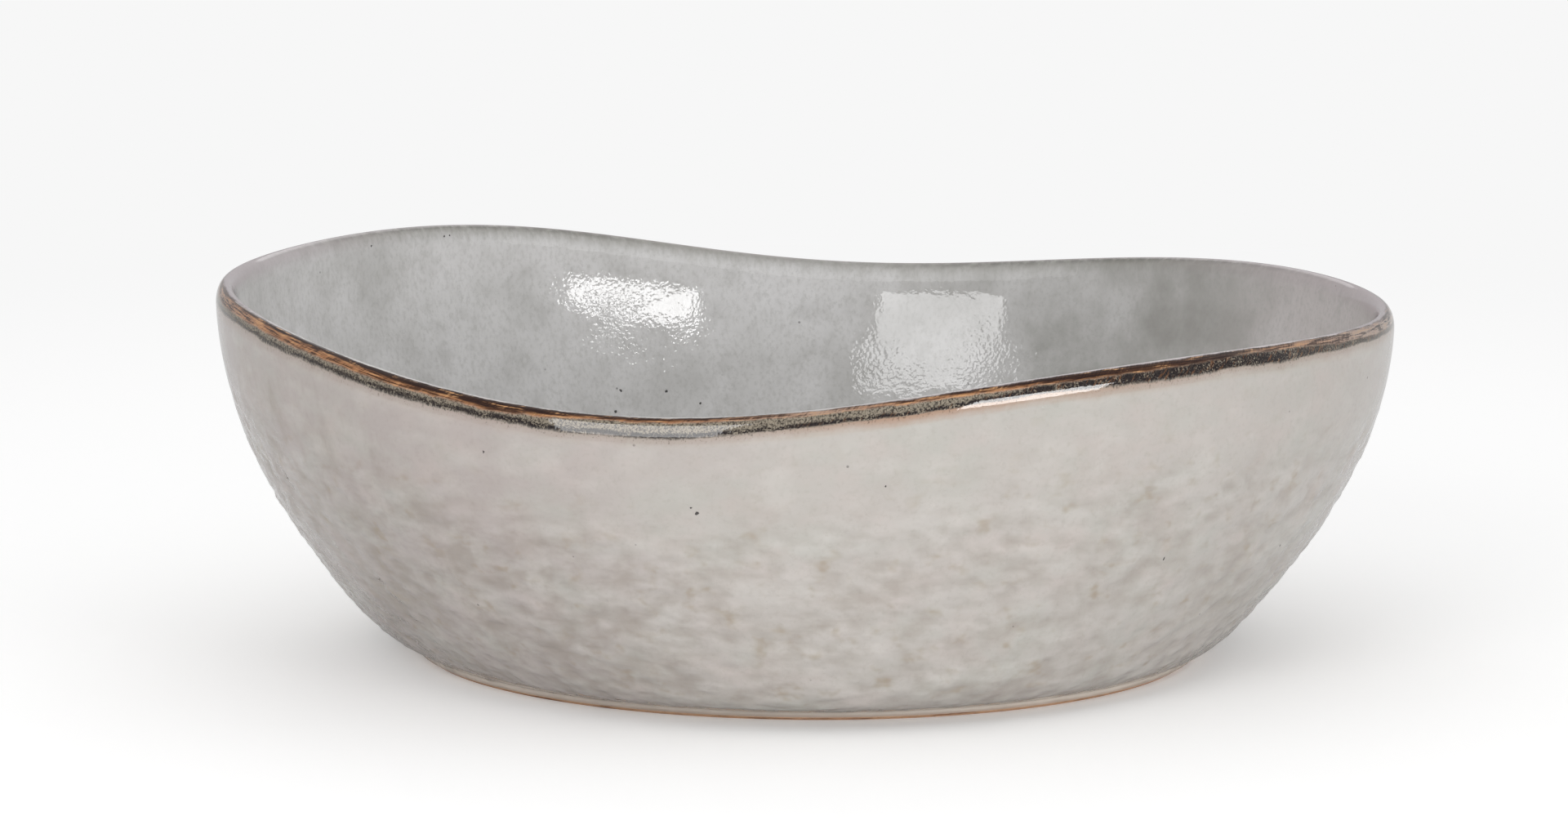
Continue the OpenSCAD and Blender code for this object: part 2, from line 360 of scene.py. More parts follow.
def note(mesh, name, values):
    """Stores a number or a vector on each vertex."""
    wide = values.ndim == 2
    attribute = mesh.attributes.new(name, "FLOAT_VECTOR" if wide else "FLOAT", "POINT")
    attribute.data.foreach_set("vector" if wide else "value", values.astype(np.float32).ravel())


def noted(mesh, name):
    """The numbers that note stored."""
    values = np.empty(len(mesh.vertices), np.float32)
    mesh.attributes[name].data.foreach_get("value", values)
    return values.astype(float)


def ease(x, low, high):
    """0 below low, 1 above high, and a smooth step between them."""
    t = np.clip((x - low) / (high - low), 0, 1)
    return t * t * (3 - 2 * t)


def measure_sections(skin):
    """Notes how far each corner is from the lip's crest along its own section, as more than 0 outside."""
    places = corners(skin.data)
    from_crest = np.zeros(len(places))
    for line in loft_lines(skin.data):
        steps = np.linalg.norm(np.diff(places[line], axis=0), axis=1)
        run = np.concatenate([[0], np.cumsum(steps)])
        from_crest[line] = run[places[line, 2].argmax()] - run
    on_axis = np.hypot(places[:, 0], places[:, 1]) < MM
    from_crest[on_axis] = from_crest.min() - np.hypot(*places[:, :2].T)[from_crest.argmin()]
    note(skin.data, "from_crest", from_crest)


def weigh_dents(skin, shape):
    """The dents are on the outside, fade out under the lip and stop at the foot."""
    down, height = noted(skin.data, "from_crest"), corners(skin.data)[:, 2]
    weights = ease(down, shape.dent_start, shape.dent_full) * ease(height, shape.foot_start, shape.foot_full)
    group = skin.vertex_groups.new(name="dented")
    for i, weight in enumerate(weights):
        group.add([i], float(weight), "REPLACE")


def press_dents(skin, shape):
    """Presses soft dents into the outside, and notes how deep each corner went."""
    before, facing = corners(skin.data), normals(skin.data)
    reliefs = (
        ("swells", (shape.swell_w, shape.swell_w, shape.swell_w), shape.swell_depth, 0),
        ("dents", (shape.dent_w, shape.dent_w, shape.dent_h), shape.dent_depth, 1),
    )
    for name, size, depth, layers in reliefs:
        bpy.ops.object.empty_add(location=(0, 0, 0))
        spacing = bpy.context.active_object
        spacing.scale = size
        bpy.context.view_layer.update()
        texture = bpy.data.textures.new(name, "CLOUDS")
        texture.noise_scale = 1
        texture.noise_depth = layers
        shape_with(
            skin,
            "DISPLACE",
            texture=texture,
            texture_coords="OBJECT",
            texture_coords_object=spacing,
            strength=depth,
            mid_level=0.5,
            vertex_group="dented",
        )
        bpy.data.objects.remove(spacing)
    sunk = -((corners(skin.data) - before) * facing).sum(1)
    note(skin.data, "dent", sunk)
    skin.vertex_groups.clear()


def dress(piece, node, finish):
    """Gives a finished piece its material and its body, and hides the CAD node that it stands for."""
    piece.data.materials.clear()
    piece.data.materials.append(finish)
    pick(piece)
    bpy.ops.object.shade_smooth_by_angle(angle=SHADED_CRISP)
    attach(piece, "root")
    "bare_clay" if node == "stoneware_body" else node
    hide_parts(node)


# Materials


class Wire:
    """A value in a material. Sums and products of wires add Math nodes."""

    def __init__(self, board, socket):
        self.board = board
        self.socket = socket

    def math(self, operation, *others):
        links = dict(enumerate((self, *others)))
        return self.board.node("ShaderNodeMath", {"operation": operation}, links)

    def __add__(self, other):
        return self.math("ADD", other)

    def __sub__(self, other):
        return self.math("SUBTRACT", other)

    def __rsub__(self, other):
        return self.board.node("ShaderNodeMath", {"operation": "SUBTRACT"}, {0: other, 1: self})

    def __mul__(self, other):
        return self.math("MULTIPLY", other)


class Board:
    """The nodes of one material."""

    def __init__(self, tree):
        self.tree = tree
        tree.nodes.clear()

    def node(self, kind, settings=None, links=None, output=0):
        """Adds a node, sets it up, fills its inputs by name or number, and returns one of its outputs."""
        made = self.tree.nodes.new(kind)
        for key, value in (settings or {}).items():
            if key == "stops":
                self.fill_ramp(made.color_ramp, value)
            else:
                setattr(made, key, value)
        for key, value in (links or {}).items():
            socket = made.inputs[key]
            if isinstance(value, Wire):
                self.tree.links.new(value.socket, socket)
            elif hasattr(value, "__len__") and len(value) == 3 and len(socket.default_value) == 4:
                socket.default_value = (*value, 1)
            else:
                socket.default_value = value
        return Wire(self, made.outputs[output]) if made.outputs else None

    @staticmethod
    def fill_ramp(ramp, stops):
        while len(ramp.elements) > 1:
            ramp.elements.remove(ramp.elements[-1])
        ramp.elements[0].position = stops[0][0]
        for place, _ in stops[1:]:
            ramp.elements.new(place)
        for element, (_, level) in zip(ramp.elements, stops):
            element.color = (level, level, level, 1)

    def attribute(self, name, output="Fac"):
        return self.node("ShaderNodeAttribute", {"attribute_name": name}, output=output)

    def stretch(self, vector, scale):
        """The vector, with each of its parts times its own number."""
        return self.node("ShaderNodeVectorMath", {"operation": "MULTIPLY"}, {0: vector, 1: scale})

    def in_mm(self, vector):
        return self.stretch(vector, (1 / MM, 1 / MM, 1 / MM))

    def cloud(self, place, size, seed, detail=3.0, roughness=0.55):
        """Noise about 0.5, whose clouds are this wide in mm along each axis. Each seed gives other clouds."""
        narrow = self.stretch(place, tuple(1 / mm for mm in size))
        shift = tuple(seed * apart for apart in (3.7, 1.9, 5.3))
        moved = self.node("ShaderNodeVectorMath", {"operation": "ADD"}, {0: narrow, 1: shift})
        links = {"Vector": moved, "Scale": 1, "Detail": detail, "Roughness": roughness}
        return self.node("ShaderNodeTexNoise", {}, links)

    def step(self, value, low, high):
        """0 below low, 1 above high, and smooth between them. It falls instead if low is the higher one."""
        links = {"Value": value, "From Min": low, "From Max": high}
        return self.node("ShaderNodeMapRange", {"interpolation_type": "SMOOTHSTEP"}, links)

    def blend(self, share, under, over):
        """The colour under, covered by the colour over as far as the share says."""
        settings = {"data_type": "RGBA", "clamp_factor": True}
        return self.node("ShaderNodeMix", settings, {0: share, 6: under, 7: over}, 2)

    def parts(self, vector):
        """The x, y and z of a vector."""
        return [self.node("ShaderNodeSeparateXYZ", {}, {0: vector}, axis) for axis in range(3)]

    def direction(self, place):
        """The direction of a place from the axis, from 0 to 1, which runs anticlockwise from the right."""
        x, y, _ = self.parts(place)
        return (0 - y).math("ARCTAN2", 0 - x) * (0.5 / math.pi) + 0.5

    def level(self, turn, stops):
        """A level that changes with the direction, given at angles from 0 to 360 degrees."""
        ramp = [(degrees / 360, value) for degrees, value in stops]
        return self.node("ShaderNodeValToRGB", {"stops": ramp}, {0: turn})


def new_material(name):
    """An empty material, pale grey in the viewport, and the board for its nodes."""
    finish = bpy.data.materials.new(name)
    finish.use_nodes = True
    finish.diffuse_color = (*paint(190, 188, 182), 1)
    return finish, Board(finish.node_tree)


def on_left(board, turn):
    """1 on the bowl's left, fading towards the front and the back."""
    return board.level(turn, [(0, 0), (150, 0.25), (205, 1), (240, 0.7), (270, 0.15), (300, 0), (360, 0)])


def outer_skin(board, place, turn, down, dent, colours):
    """Cream and mauve, with soft sage, rose and pearl clouds, dents browner partly as painted shade, and
    small ochre stains.
    """
    left = on_left(board, turn)
    broad = board.cloud(place, (45, 45, 45), 1, 2)
    skin = board.blend(board.step(left + (broad - 0.5) * 1.4, 0.15, 0.95), colours.cream, colours.mauve)
    skin = board.blend(board.step(board.cloud(place, (17, 17, 10), 2), 0.4, 0.78) * 0.7, skin, colours.sage)
    skin = board.blend(board.step(board.cloud(place, (13, 13, 9), 3), 0.42, 0.8) * 0.6, skin, colours.rose)
    skin = board.blend(board.step(board.cloud(place, (10, 10, 6), 4), 0.42, 0.82) * 0.6, skin, colours.pearl)
    low = board.step(down, 12, 34) * 0.8 + 0.2
    # Darker blotches in the dent colour, stronger low on the wall and on the left
    dark_blotches = board.step(board.cloud(place, (8, 8, 4.5), 5), 0.45, 0.85) * low
    skin = board.blend(dark_blotches * (left * 0.3 + 0.5), skin, colours.dent)
    drips = board.cloud(place, (6, 6, 12), 8) * board.step(down, 4, 9) * left
    skin = board.blend(board.step(drips, 0.42, 0.8) * 0.75, skin, colours.dent)
    # Darker where the dents sink in: partly the glaze's own colour, partly painted shade that deepens the
    # relief
    skin = board.blend(board.step(dent, -0.15, 0.35) * (left * 0.3 + 0.5), skin, colours.dent)
    stains = board.cloud(place, (5.5, 5.5, 4), 6, 2)
    skin = board.blend(board.step(stains, 0.56, 0.84) * low * 0.7, skin, colours.ochre)
    grain = board.cloud(place, (1.1, 1.1, 1.1), 7, 3, 0.65)
    return board.blend(board.step(grain, 0.45, 0.85) * 0.3, skin, colours.dent)


def inner_skin(board, place, turn, down, colours):
    """Cool grey with pale and dark clouds, painted lighter as painted light for the hollow. The wall is
    darker on the right as painted shade, and warmer there; the floor is not.
    """
    wall = board.step(down + (board.cloud(place, (20, 20, 20), 16) - 0.5) * 30, -85, -45)
    clouds = board.cloud(place, (26, 26, 30), 11, 4, 0.6)
    skin = board.blend(board.step(clouds, 0.45, 0.75) * 0.8, colours.cool, colours.mist)
    skin = board.blend(board.step(clouds, 0.55, 0.25) * 0.4, skin, colours.slate)
    # Painted shade: slate darkens the right of the wall, where the light is dimmer
    shade = board.level(
        turn,
        [(0, 0.1), (26, 0.3), (40, 0.9), (62, 0.95), (76, 0.2), (95, 0), (290, 0), (340, 0.1), (360, 0.1)],
    )
    skin = board.blend(wall * shade * (board.step(clouds, 0.7, 0.35) * 0.6 + 0.4), skin, colours.slate)
    warm = board.level(turn, [(0, 0.8), (26, 0.6), (40, 0.1), (60, 0), (300, 0), (340, 0.7), (360, 0.8)])
    skin = board.blend(wall * warm * 0.8, skin, colours.blush)
    mottle = board.cloud(place, (5, 5, 6), 12, 3, 0.6)
    skin = board.blend(board.step(mottle, 0.45, 0.8) * 0.3, skin, colours.slate)
    grain = board.cloud(place, (0.9, 0.9, 1.2), 13, 3, 0.65)
    return board.blend(board.step(grain, 0.42, 0.75) * 0.3, skin, colours.slate)


def fern_runs(board, place, turn, down):
    """How far dull grey-green runs cover the inside under the crest."""
    runs = board.cloud(place, (1.2, 1.2, 5), 14, 3, 0.6)
    reach = board.level(
        turn,
        [(0, 0.3), (30, 0.6), (70, 0.8), (130, 1), (150, 0.8), (165, 0.3), (190, 0), (335, 0), (360, 0.3)],
    )
    return board.step(down + (runs - 0.5) * 3, -5, -0.4) * board.step(down, 0.9, 0.2) * reach


def crest_line(board, place, turn, down):
    """How far a thin dark line covers the crest at the back."""
    right_stops = [(0, 0), (20, 0.5), (35, 1), (68, 0.9), (80, 0.3)]
    left_stops = [(105, 0.2), (116, 0.8), (145, 1), (158, 0.5), (172, 0), (360, 0)]
    reach = board.level(turn, right_stops + left_stops)
    flecks = board.step(board.cloud(place, (2, 2, 2), 15, 3, 0.6), 0.3, 0.6)
    return board.step(down, -2.4, -0.6) * board.step(down, 1.4, 0.6) * reach * flecks


def gloss(board, place, turn, down):
    """Roughness of the glaze. It is dull on the inner side of the lip at the back."""
    back = board.level(turn, [(0, 0), (50, 0), (66, 1), (120, 1), (136, 0), (360, 0)])
    ragged = down + (board.cloud(place, (2, 2, 3), 56) - 0.5) * 1.6
    return board.step(ragged, -5.6, -4.5) * board.step(down, 1.2, 0.4) * back * 0.5 + 0.03


def breaking_band(board, skin, wrap, slant, turn, down, colours):
    """The brown band on the lip. Its zones wander, and fine strokes and grains break them up."""
    directions, *columns = zip(*BAND)
    shares = [[mm / BAND_REACH for mm in column] for column in columns[:4]]
    umber_end, amber_end, coal_top, coal_end = (
        board.level(turn, list(zip(directions, column))) * BAND_REACH for column in shares
    )
    lilac, umber, amber, coal, sand = (
        board.level(turn, list(zip(directions, column))) for column in columns[4:]
    )
    wander = board.cloud(wrap, (14, 14, 500), 21, 2)
    patches = board.cloud(wrap, (4.5, 4.5, 3.2), 22)
    strokes = board.cloud(wrap, (6.5, 6.5, 0.4), 23, 3, 0.62)
    dashes = board.cloud(slant, (0.6, 0.6, 2.2), 24, 3, 0.6)
    grain = board.cloud(wrap, (0.42, 0.42, 0.42), 25, 3, 0.65)
    edge = down + (wander - 0.5) * 1.2 + (patches - 0.5) * 0.9 + (dashes - 0.5) * 0.4
    fine = strokes * 0.75 + dashes * 0.25

    right_stops = [(0, 1), (25, 0.6), (50, 0)]
    left_stops = [(140, 0), (165, 0.7), (180, 1), (200, 0.8), (212, 0)]
    ends = board.level(turn, right_stops + left_stops + [(335, 0), (350, 0.8), (360, 1)])
    # The lip's two ends, seen edge-on, are paler lilac: partly the glaze's own colour, partly painted
    # reflection
    mauve_lip = board.step(edge, -6, -2) * board.step(edge, 1.8, 0.5) * ends
    skin = board.blend(mauve_lip * 0.75, skin, colours.lilac)
    # Painted shade: a darker grey-brown strip just below the band's coal edge
    under = board.step(edge - coal_end, -0.3, 0.1) * board.step(edge - coal_end, 1.7, 0.0)
    skin = board.blend(under * coal * 0.6, skin, colours.dent)
    halo = board.step(edge - coal_end, -0.3, 0.2) * board.step(edge - coal_end, 2.6, 0.1)
    skin = board.blend(halo * sand * 0.85, skin, colours.sand)
    dust = board.step(edge - coal_end, -0.4, 0.1) * board.step(edge - coal_end, 1.3, 0.1)
    skin = board.blend(dust * board.step(grain, 0.56, 0.66) * coal * 0.6, skin, colours.coal)

    clear = board.step(edge - amber_end, -0.4, 0.3) * board.step(edge - coal_end, 0.3, -0.3)
    skin = board.blend(clear * 0.9, skin, colours.olive)
    skin = board.blend(clear * board.step(grain, 0.43, 0.62) * 0.85, skin, colours.coal)
    breaking = board.step(edge, 0.4, 0.8) * board.step(edge - amber_end, 0.35, -0.35)
    skin = board.blend(breaking * amber * 0.95, skin, colours.amber)
    skin = board.blend(breaking * amber * board.step(fine, 0.47, 0.38) * 0.75, skin, colours.gold)
    skin = board.blend(breaking * board.step(fine, 0.48, 0.57) * 0.85, skin, colours.umber)
    dark = board.step(edge - coal_top, -0.4, 0.3) * board.step(edge - coal_end, 0.35, -0.35)
    broken = board.step(grain * 0.65 + patches * 0.35, 0.37, 0.49)
    skin = board.blend(dark * broken * coal * 0.95, skin, colours.coal)
    skin = board.blend(dark * board.step(dashes, 0.56, 0.66) * lilac * 0.55, skin, colours.amber)
    line = board.step(edge, 0.1, 0.5) * board.step(edge - umber_end, 0.35, -0.35)
    skin = board.blend(line * umber * board.step(fine, 0.34, 0.44) * 0.95, skin, colours.umber)
    # A thin lilac line on the crest: partly the glaze's own colour, partly a painted highlight
    crest = board.step(edge, -1.2, -0.3) * board.step(edge, 0.75, 0.3)
    return board.blend(crest * lilac * 0.7, skin, colours.lilac)


def foot_edge(board, skin, place, colours):
    """A near-white painted light on the foot ring's side, lifting the shade under the overhanging wall, under
    a thin brown line in the corner.
    """
    height = board.parts(place)[2] + (board.cloud(place, (6, 6, 6), 31) - 0.5) * 0.6
    # Painted light: the ring's side is covered with a near-white colour
    skin = board.blend(board.step(height, 3.0, 2.4) * 0.85, skin, colours.foot_side_painted_light)
    corner = board.step(height, 2.2, 2.6) * board.step(height, 3.4, 2.9)
    skin = board.blend(corner * 0.5, skin, colours.sand)
    return board.blend(board.step(height, 1.5, 1.0) * 0.35, skin, colours.sand)


def iron_specks(board, place, wrap):
    """A few ragged specks at their own places, and tiny ones scattered thinly."""
    frayed = board.node("ShaderNodeTexNoise", {}, {"Vector": place, "Scale": 1.3}, 1)
    ragged = board.node("ShaderNodeVectorMath", {"operation": "ADD"}, {0: wrap, 1: frayed})
    spaced = board.stretch(place, (0.13, 0.13, 0.13))
    pores = board.node("ShaderNodeTexVoronoi", {}, {"Vector": spaced, "Scale": 1})
    rare = board.step(board.cloud(place, (9, 9, 9), 41, 1), 0.5, 0.6)
    specks = board.step(pores, 0.045, 0.025) * rare * 0.6
    for degrees, down, radius in SPECKS:
        turn = math.radians(degrees)
        centre = (WRAP_R / MM * math.cos(turn) + 0.5, WRAP_R / MM * math.sin(turn) + 0.5, down + 0.5)
        away = board.node("ShaderNodeVectorMath", {"operation": "DISTANCE"}, {0: ragged, 1: centre}, "Value")
        specks = board.step(away, radius, radius * 0.6) + specks
    return specks


def relief(board, place, turn, down):
    """Hammered dents low on the outside, and a faint orange peel, stronger deep inside, with pin-pricks."""
    low = board.step(down, 10, 30) * (on_left(board, turn) * 0.6 + 1)
    hammered = board.cloud(place, (9.5, 9.5, 4.8), 55, 2, 0.45) * low * 1.05
    patches = board.step(board.cloud(place, (14, 14, 14), 54, 1), 0.4, 0.62) + 0.4
    deep = board.step(down, -9, -19) * 0.06 + 0.013
    peel = board.cloud(place, (0.85, 0.85, 0.85), 51, 1, 0.5) * patches * deep
    ripple = board.cloud(place, (4, 4, 4), 52, 1) * 0.02
    pits = board.step(board.cloud(place, (0.55, 0.55, 0.55), 53, 1), 0.3, 0.22) * 0.012
    height = hammered + peel + ripple - pits
    return board.node("ShaderNodeBump", {}, {"Strength": 1, "Distance": MM, "Height": height})


def glaze(name, colours):
    """The glaze of the whole bowl. What it shows at a place follows from the distance to the lip's crest."""
    finish, board = new_material(name)
    place = board.in_mm(board.node("ShaderNodeTexCoord", output="Object"))
    wrap = board.in_mm(board.attribute("round_and_down", "Vector"))
    slant = board.in_mm(board.attribute("slanting_down", "Vector"))
    down = board.attribute("from_crest") * (1 / MM)
    dent = board.attribute("dent") * (1 / MM)
    turn = board.direction(place)

    dull = fern_runs(board, place, turn, down)
    inside = inner_skin(board, place, turn, down, colours)
    outside = outer_skin(board, place, turn, down, dent, colours)
    skin = board.blend(board.step(down, -0.6, 0.9), inside, foot_edge(board, outside, place, colours))
    skin = board.blend(dull * 0.75, skin, colours.fern)
    skin = board.blend(crest_line(board, place, turn, down) * 0.45, skin, colours.coal)
    skin = breaking_band(board, skin, wrap, slant, turn, down, colours)

    skin = board.blend(iron_specks(board, place, wrap) * 0.9, skin, colours.coal)
    links = {
        "Base Color": skin,
        "Roughness": gloss(board, place, turn, down),
        "IOR": 1.55,
        "Normal": relief(board, place, turn, down),
    }
    shader = board.node("ShaderNodeBsdfPrincipled", {}, links)
    board.node("ShaderNodeOutputMaterial", {}, {0: shader})
    return finish


def bare_clay(colours):
    """Fired clay: buff with rusty iron, dry and a little grainy."""
    finish, board = new_material("bare clay")
    place = board.in_mm(board.node("ShaderNodeTexCoord", output="Object"))
    clouds = board.cloud(place, (7, 7, 3), 1, 3, 0.6)
    skin = board.blend(board.step(clouds, 0.45, 0.8) * 0.5, colours.clay, colours.rust)
    lines = board.cloud(place, (9, 9, 0.35), 2)
    skin = board.blend(board.step(lines, 0.54, 0.64) * 0.7, skin, colours.rust)
    grit = board.cloud(place, (0.45, 0.45, 0.45), 3, 3, 0.7)
    skin = board.blend(board.step(grit, 0.6, 0.75) * 0.5, skin, colours.rust)
    bump = board.node("ShaderNodeBump", {}, {"Strength": 1, "Distance": MM, "Height": grit * 0.12})
    shader = board.node(
        "ShaderNodeBsdfPrincipled", {}, {"Base Color": skin, "Roughness": 0.8, "IOR": 1.5, "Normal": bump}
    )
    board.node("ShaderNodeOutputMaterial", {}, {0: shader})
    return finish


# Pieces


class BOWL_OT_clay_body(bpy.types.Operator):
    """Makes the clay body, which shows bare round the foot"""

    bl_idname = "bowl.clay_body"
    bl_label = "Clay body"
    bl_options = {"REGISTER", "UNDO"}

    def execute(self, context):
        shape = context.scene.bowl_shape
        body = merged_copy("stoneware_body", "clay_body")
        make_quads(body)
        measure_sections(body)
        weigh_dents(body, shape)
        crease_corners(body, 1)
        subdivide(body, shape.smoothing - 1)
        press_dents(body, shape)
        dress(body, "stoneware_body", bare_clay(context.scene.bowl_colours))
        return {"FINISHED"}


class BOWL_OT_wall_coats(bpy.types.Operator):
    """Makes the coats of glaze on the wall, the lip and the inside from one skin"""

    bl_idname = "bowl.wall_coats"
    bl_label = "Coats on the wall"
    bl_options = {"REGISTER", "UNDO"}

    def execute(self, context):
        shape, colours = context.scene.bowl_shape, context.scene.bowl_colours
        nodes = ("outside_glaze", "rim_glaze", "inside_glaze")
        finishes = {node: glaze(node.replace("_", " "), colours) for node in nodes}
        coats = []
        for node in nodes:
            coat = merged_copy(node, node + "_skin")
            coat.data.materials.append(finishes[node])
            coats.append(coat)
        skin = self.join_skins(coats)
        measure_sections(skin)
        weigh_dents(skin, shape)
        subdivide(skin, shape.smoothing)
        press_dents(skin, shape)

        pick(skin)
        bpy.ops.object.mode_set(mode="EDIT")
        bpy.ops.mesh.select_all(action="SELECT")
        bpy.ops.mesh.separate(type="MATERIAL")
        bpy.ops.object.mode_set(mode="OBJECT")
        for coat in list(context.selected_objects):
            finish = coat.data.materials[coat.data.polygons[0].material_index]
            node = next(n for n in nodes if finishes[n] == finish)
            self.thicken(coat, shape)
            self.lay_out(coat)
            coat.name = coat.data.name = node.replace("_glaze", "_coat")
            dress(coat, node, finish)
        return {"FINISHED"}

    @staticmethod
    def join_skins(coats):
        """Joins the coats, and leaves only the faces that don't lie on the clay or between two coats."""
        clay = frame["nodes"]["stoneware_body"].data
        tree = KDTree(len(clay.vertices))
        for i, vertex in enumerate(clay.vertices):
            tree.insert(vertex.co, i)
        tree.balance()
        pick(*coats)
        bpy.ops.object.join()
        skin = coats[0]
        bpy.ops.object.mode_set(mode="EDIT")
        bpy.ops.mesh.select_mode(type="VERT")
        bpy.ops.mesh.select_all(action="SELECT")
        bpy.ops.mesh.remove_doubles(threshold=SAME_PLACE)
        bpy.ops.mesh.select_all(action="DESELECT")
        mesh = bmesh.from_edit_mesh(skin.data)
        for vertex in mesh.verts:
            if tree.find(vertex.co)[2] < SAME_PLACE:
                vertex.select = True
        mesh.select_flush_mode()
        bmesh.update_edit_mesh(skin.data)
        bpy.ops.mesh.delete(type="VERT")
        bpy.ops.object.mode_set(mode="OBJECT")
        make_quads(skin)
        return skin

    @staticmethod
    def thicken(coat, shape):
        """Gives the skin its thickness, with few faces on the side that lies on the clay."""
        coat.vertex_groups.clear()
        coat.vertex_groups.new(name="hidden")
        shape_with(
            coat,
            "SOLIDIFY",
            thickness=shape.coat,
            offset=-1,
            use_even_offset=True,
            shell_vertex_group="hidden",
        )
        shape_with(coat, "DECIMATE", ratio=FACES_KEPT, vertex_group="hidden")
        coat.vertex_groups.clear()

    @staticmethod
    def lay_out(coat):
        """Notes where each corner is on a cylinder that the band's patterns are drawn on."""
        places, down = corners(coat.data), noted(coat.data, "from_crest")
        turn = np.arctan2(places[:, 1], places[:, 0])
        for name, lean in (("round_and_down", 0), ("slanting_down", DASH_LEAN)):
            around = turn + lean * down / WRAP_R
            note(coat.data, name, np.stack([WRAP_R * np.cos(around), WRAP_R * np.sin(around), down], 1))


class BOWL_OT_underside_coat(bpy.types.Operator):
    """Makes the island of glaze inside the foot ring"""

    bl_idname = "bowl.underside_coat"
    bl_label = "Coat on the underside"
    bl_options = {"REGISTER", "UNDO"}

    def execute(self, context):
        coat = merged_copy("underside_glaze", "underside_coat")
        make_quads(coat)
        crease_corners(coat, UNDERSIDE_CREASE)
        subdivide(coat, context.scene.bowl_shape.smoothing)
        note(coat.data, "from_crest", np.full(len(coat.data.vertices), UNDERSIDE_DOWN))
        note(coat.data, "dent", np.zeros(len(coat.data.vertices)))
        BOWL_OT_wall_coats.lay_out(coat)
        dress(coat, "underside_glaze", glaze("underside glaze", context.scene.bowl_colours))
        return {"FINISHED"}


# Stage


def aimed(thing, target):
    """Turns a camera or a lamp to look at the target."""
    thing.rotation_euler = (Vector(target) - thing.location).to_track_quat("-Z", "Y").to_euler()


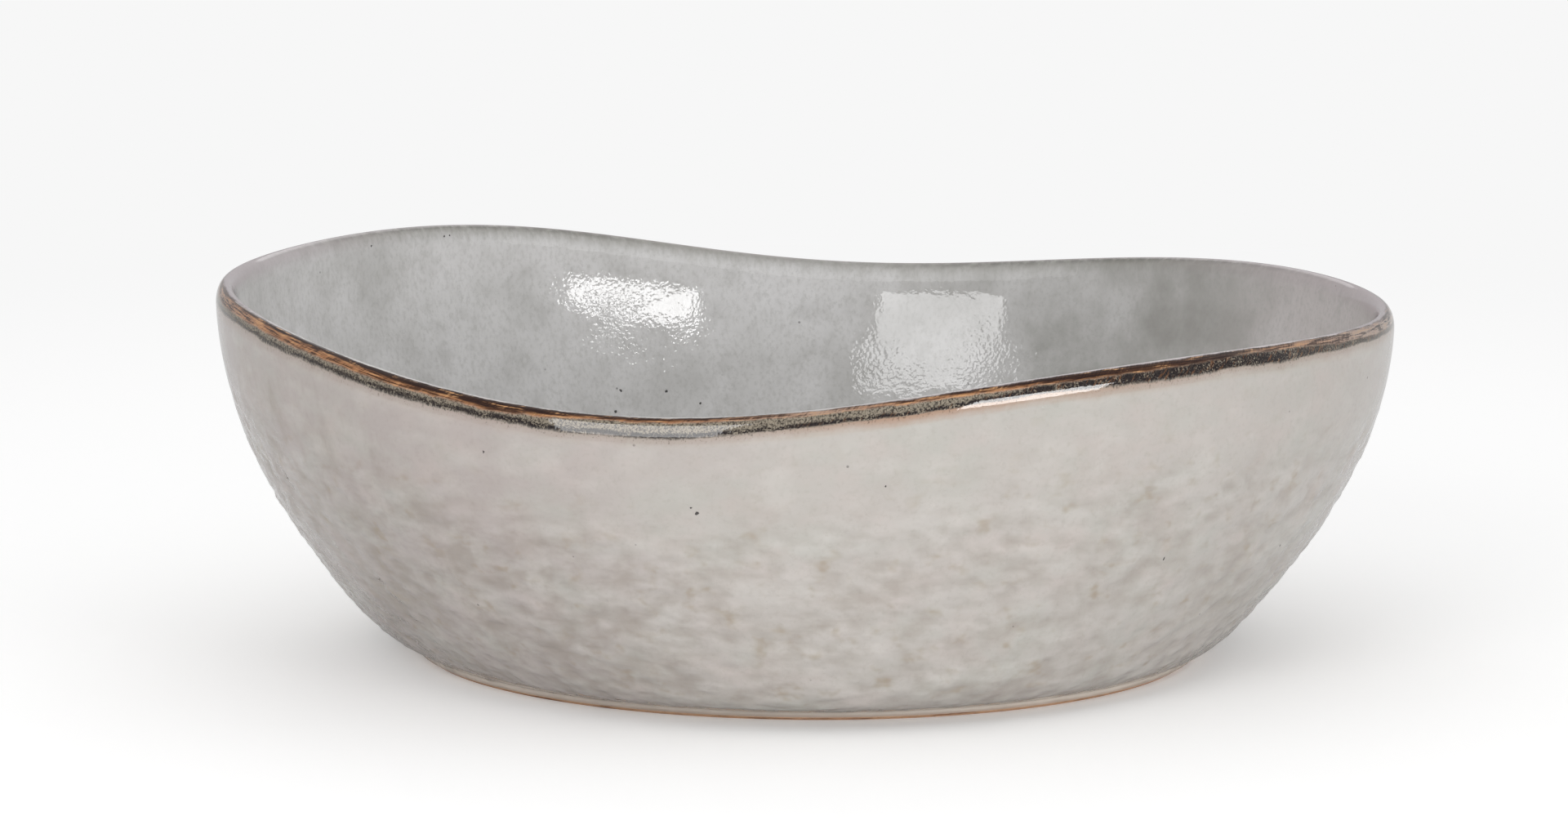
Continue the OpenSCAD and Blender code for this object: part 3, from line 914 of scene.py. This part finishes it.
class BOWL_OT_stage(bpy.types.Operator):
    """Sets up the camera, the floor and the light"""

    bl_idname = "bowl.stage"
    bl_label = "Studio"
    bl_options = {"REGISTER", "UNDO"}

    def execute(self, context):
        studio = context.scene.bowl_studio
        self.place_camera(context.scene, studio)
        self.light_room(context.scene, studio)
        for softbox in SOFTBOXES:
            self.hang_box(*softbox)
        self.lay_floor(studio)
        return {"FINISHED"}

    @staticmethod
    def place_camera(scene, studio):
        aim = Vector(studio.aim)
        back = Vector((0, -math.cos(studio.rise), math.sin(studio.rise)))
        bpy.ops.object.camera_add(location=aim + back * studio.distance)
        camera = bpy.context.active_object
        camera.data.lens = camera.data.sensor_width * studio.distance / studio.view_w
        camera.data.clip_end = 50
        aimed(camera, aim)
        scene.camera = camera

    @staticmethod
    def hang_box(name, direction, size, light, glare):
        """Hangs two lamps: one lights the bowl, and one just in front of it is what the gloss reflects."""
        turn, rise, tilt = (math.radians(degrees) for degrees in direction)
        level = math.cos(rise)
        towards = Vector((math.sin(turn) * level, -math.cos(turn) * level, math.sin(rise)))
        for use, radiance, away in (("light", light, LIGHT_AWAY), ("glare", glare, GLARE_AWAY)):
            bpy.ops.object.light_add(type="AREA", location=LIT_PLACE + towards * away)
            lamp = bpy.context.active_object
            lamp.name = lamp.data.name = f"{name} {use}"
            lamp.data.shape = "RECTANGLE"
            lamp.data.size, lamp.data.size_y = size
            lamp.data.energy = radiance * math.pi * size[0] * size[1]
            lamp.visible_camera = False
            lamp.visible_diffuse = use == "light"
            lamp.visible_glossy = use == "glare"
            aimed(lamp, LIT_PLACE)
            lamp.rotation_euler.rotate_axis("Z", tilt)

    @staticmethod
    def light_room(scene, studio):
        """A soft light, more from above. Reflections see a grey studio, and the camera sees the backdrop."""
        scene.world = bpy.data.worlds.new("studio")
        scene.world.use_nodes = True
        board = Board(scene.world.node_tree)
        seen = board.node("ShaderNodeBackground", {}, {"Color": studio.backdrop, "Strength": 1})
        _, towards, up = board.parts(board.node("ShaderNodeTexCoord", output="Generated"))
        fill = (board.step(up, -0.15, 1) * 0.78 + 0.22) * studio.fill
        fill = board.node("ShaderNodeBackground", {}, {"Color": (1, 1, 1), "Strength": fill})
        mirrored = board.step(towards, -0.1, 0.3) * (studio.haze - studio.gloom) + studio.gloom
        mirrored = board.node("ShaderNodeBackground", {}, {"Color": (1, 1, 1), "Strength": mirrored})
        camera = board.node("ShaderNodeLightPath", output="Is Camera Ray")
        gloss = board.node("ShaderNodeLightPath", output="Is Glossy Ray")
        lit = board.node("ShaderNodeMixShader", {}, {0: gloss, 1: fill, 2: mirrored})
        both = board.node("ShaderNodeMixShader", {}, {0: camera, 1: lit, 2: seen})
        board.node("ShaderNodeOutputWorld", {}, {0: both})

    @staticmethod
    def lay_floor(studio):
        """A pale floor that keeps the bowl's shadow, and turns into the backdrop's colour further out."""
        bpy.ops.mesh.primitive_circle_add(vertices=96, radius=FLOOR_R, fill_type="NGON")
        floor = bpy.context.active_object
        floor.name = floor.data.name = "floor"
        finish, board = new_material("floor")
        place = board.node("ShaderNodeTexCoord", output="Object")
        far = board.node("ShaderNodeVectorMath", {"operation": "LENGTH"}, {0: place}, "Value")
        camera = board.node("ShaderNodeLightPath", output="Is Camera Ray")
        gloss = board.node("ShaderNodeLightPath", output="Is Glossy Ray")
        shown = board.blend(gloss * studio.floor_gloom, studio.backdrop, (0, 0, 0))
        matt = board.node("ShaderNodeBsdfDiffuse", {}, {"Color": shown})
        glow_strength = camera * studio.floor_glow
        glow = board.node("ShaderNodeEmission", {}, {"Color": studio.backdrop, "Strength": glow_strength})
        plain = board.node("ShaderNodeEmission", {}, {"Color": studio.backdrop, "Strength": 1})
        near = board.node("ShaderNodeAddShader", {}, {0: matt, 1: glow})
        faded = board.step(far, *FLOOR_FADE) * camera
        both = board.node("ShaderNodeMixShader", {}, {0: faded, 1: near, 2: plain})
        board.node("ShaderNodeOutputMaterial", {}, {0: both})
        floor.data.materials.append(finish)


class BOWL_PT_panel(bpy.types.Panel):
    """Lists the bowl's pieces and settings"""

    bl_label = "Stoneware bowl"
    bl_idname = "BOWL_PT_panel"
    bl_space_type = "VIEW_3D"
    bl_region_type = "UI"
    bl_category = "Bowl"

    def draw(self, context):
        for operator in PIECES + STAGE:
            self.layout.operator(operator.bl_idname)
        for settings in (context.scene.bowl_shape, context.scene.bowl_colours, context.scene.bowl_studio):
            box = self.layout.box()
            box.label(text=type(settings).__doc__)
            for name in type(settings).__annotations__:
                box.prop(settings, name)


SETTINGS = (BowlShape, BowlColours, BowlStudio)
PIECES = (BOWL_OT_clay_body, BOWL_OT_wall_coats, BOWL_OT_underside_coat)
STAGE = (BOWL_OT_stage,)
CLASSES = SETTINGS + PIECES + STAGE + (BOWL_PT_panel,)


def register():
    for cls in CLASSES:
        bpy.utils.register_class(cls)
    bpy.types.Scene.bowl_shape = PointerProperty(type=BowlShape)
    bpy.types.Scene.bowl_colours = PointerProperty(type=BowlColours)
    bpy.types.Scene.bowl_studio = PointerProperty(type=BowlStudio)


def unregister():
    del bpy.types.Scene.bowl_studio
    del bpy.types.Scene.bowl_colours
    del bpy.types.Scene.bowl_shape
    for cls in reversed(CLASSES):
        bpy.utils.unregister_class(cls)


def main():
    register()
    bpy.ops.bowl.clay_body()
    bpy.ops.bowl.wall_coats()
    bpy.ops.bowl.underside_coat()
    bpy.ops.bowl.stage()
    bpy.context.scene.view_settings.view_transform = "Standard"


if __name__ == "__main__":
    main()
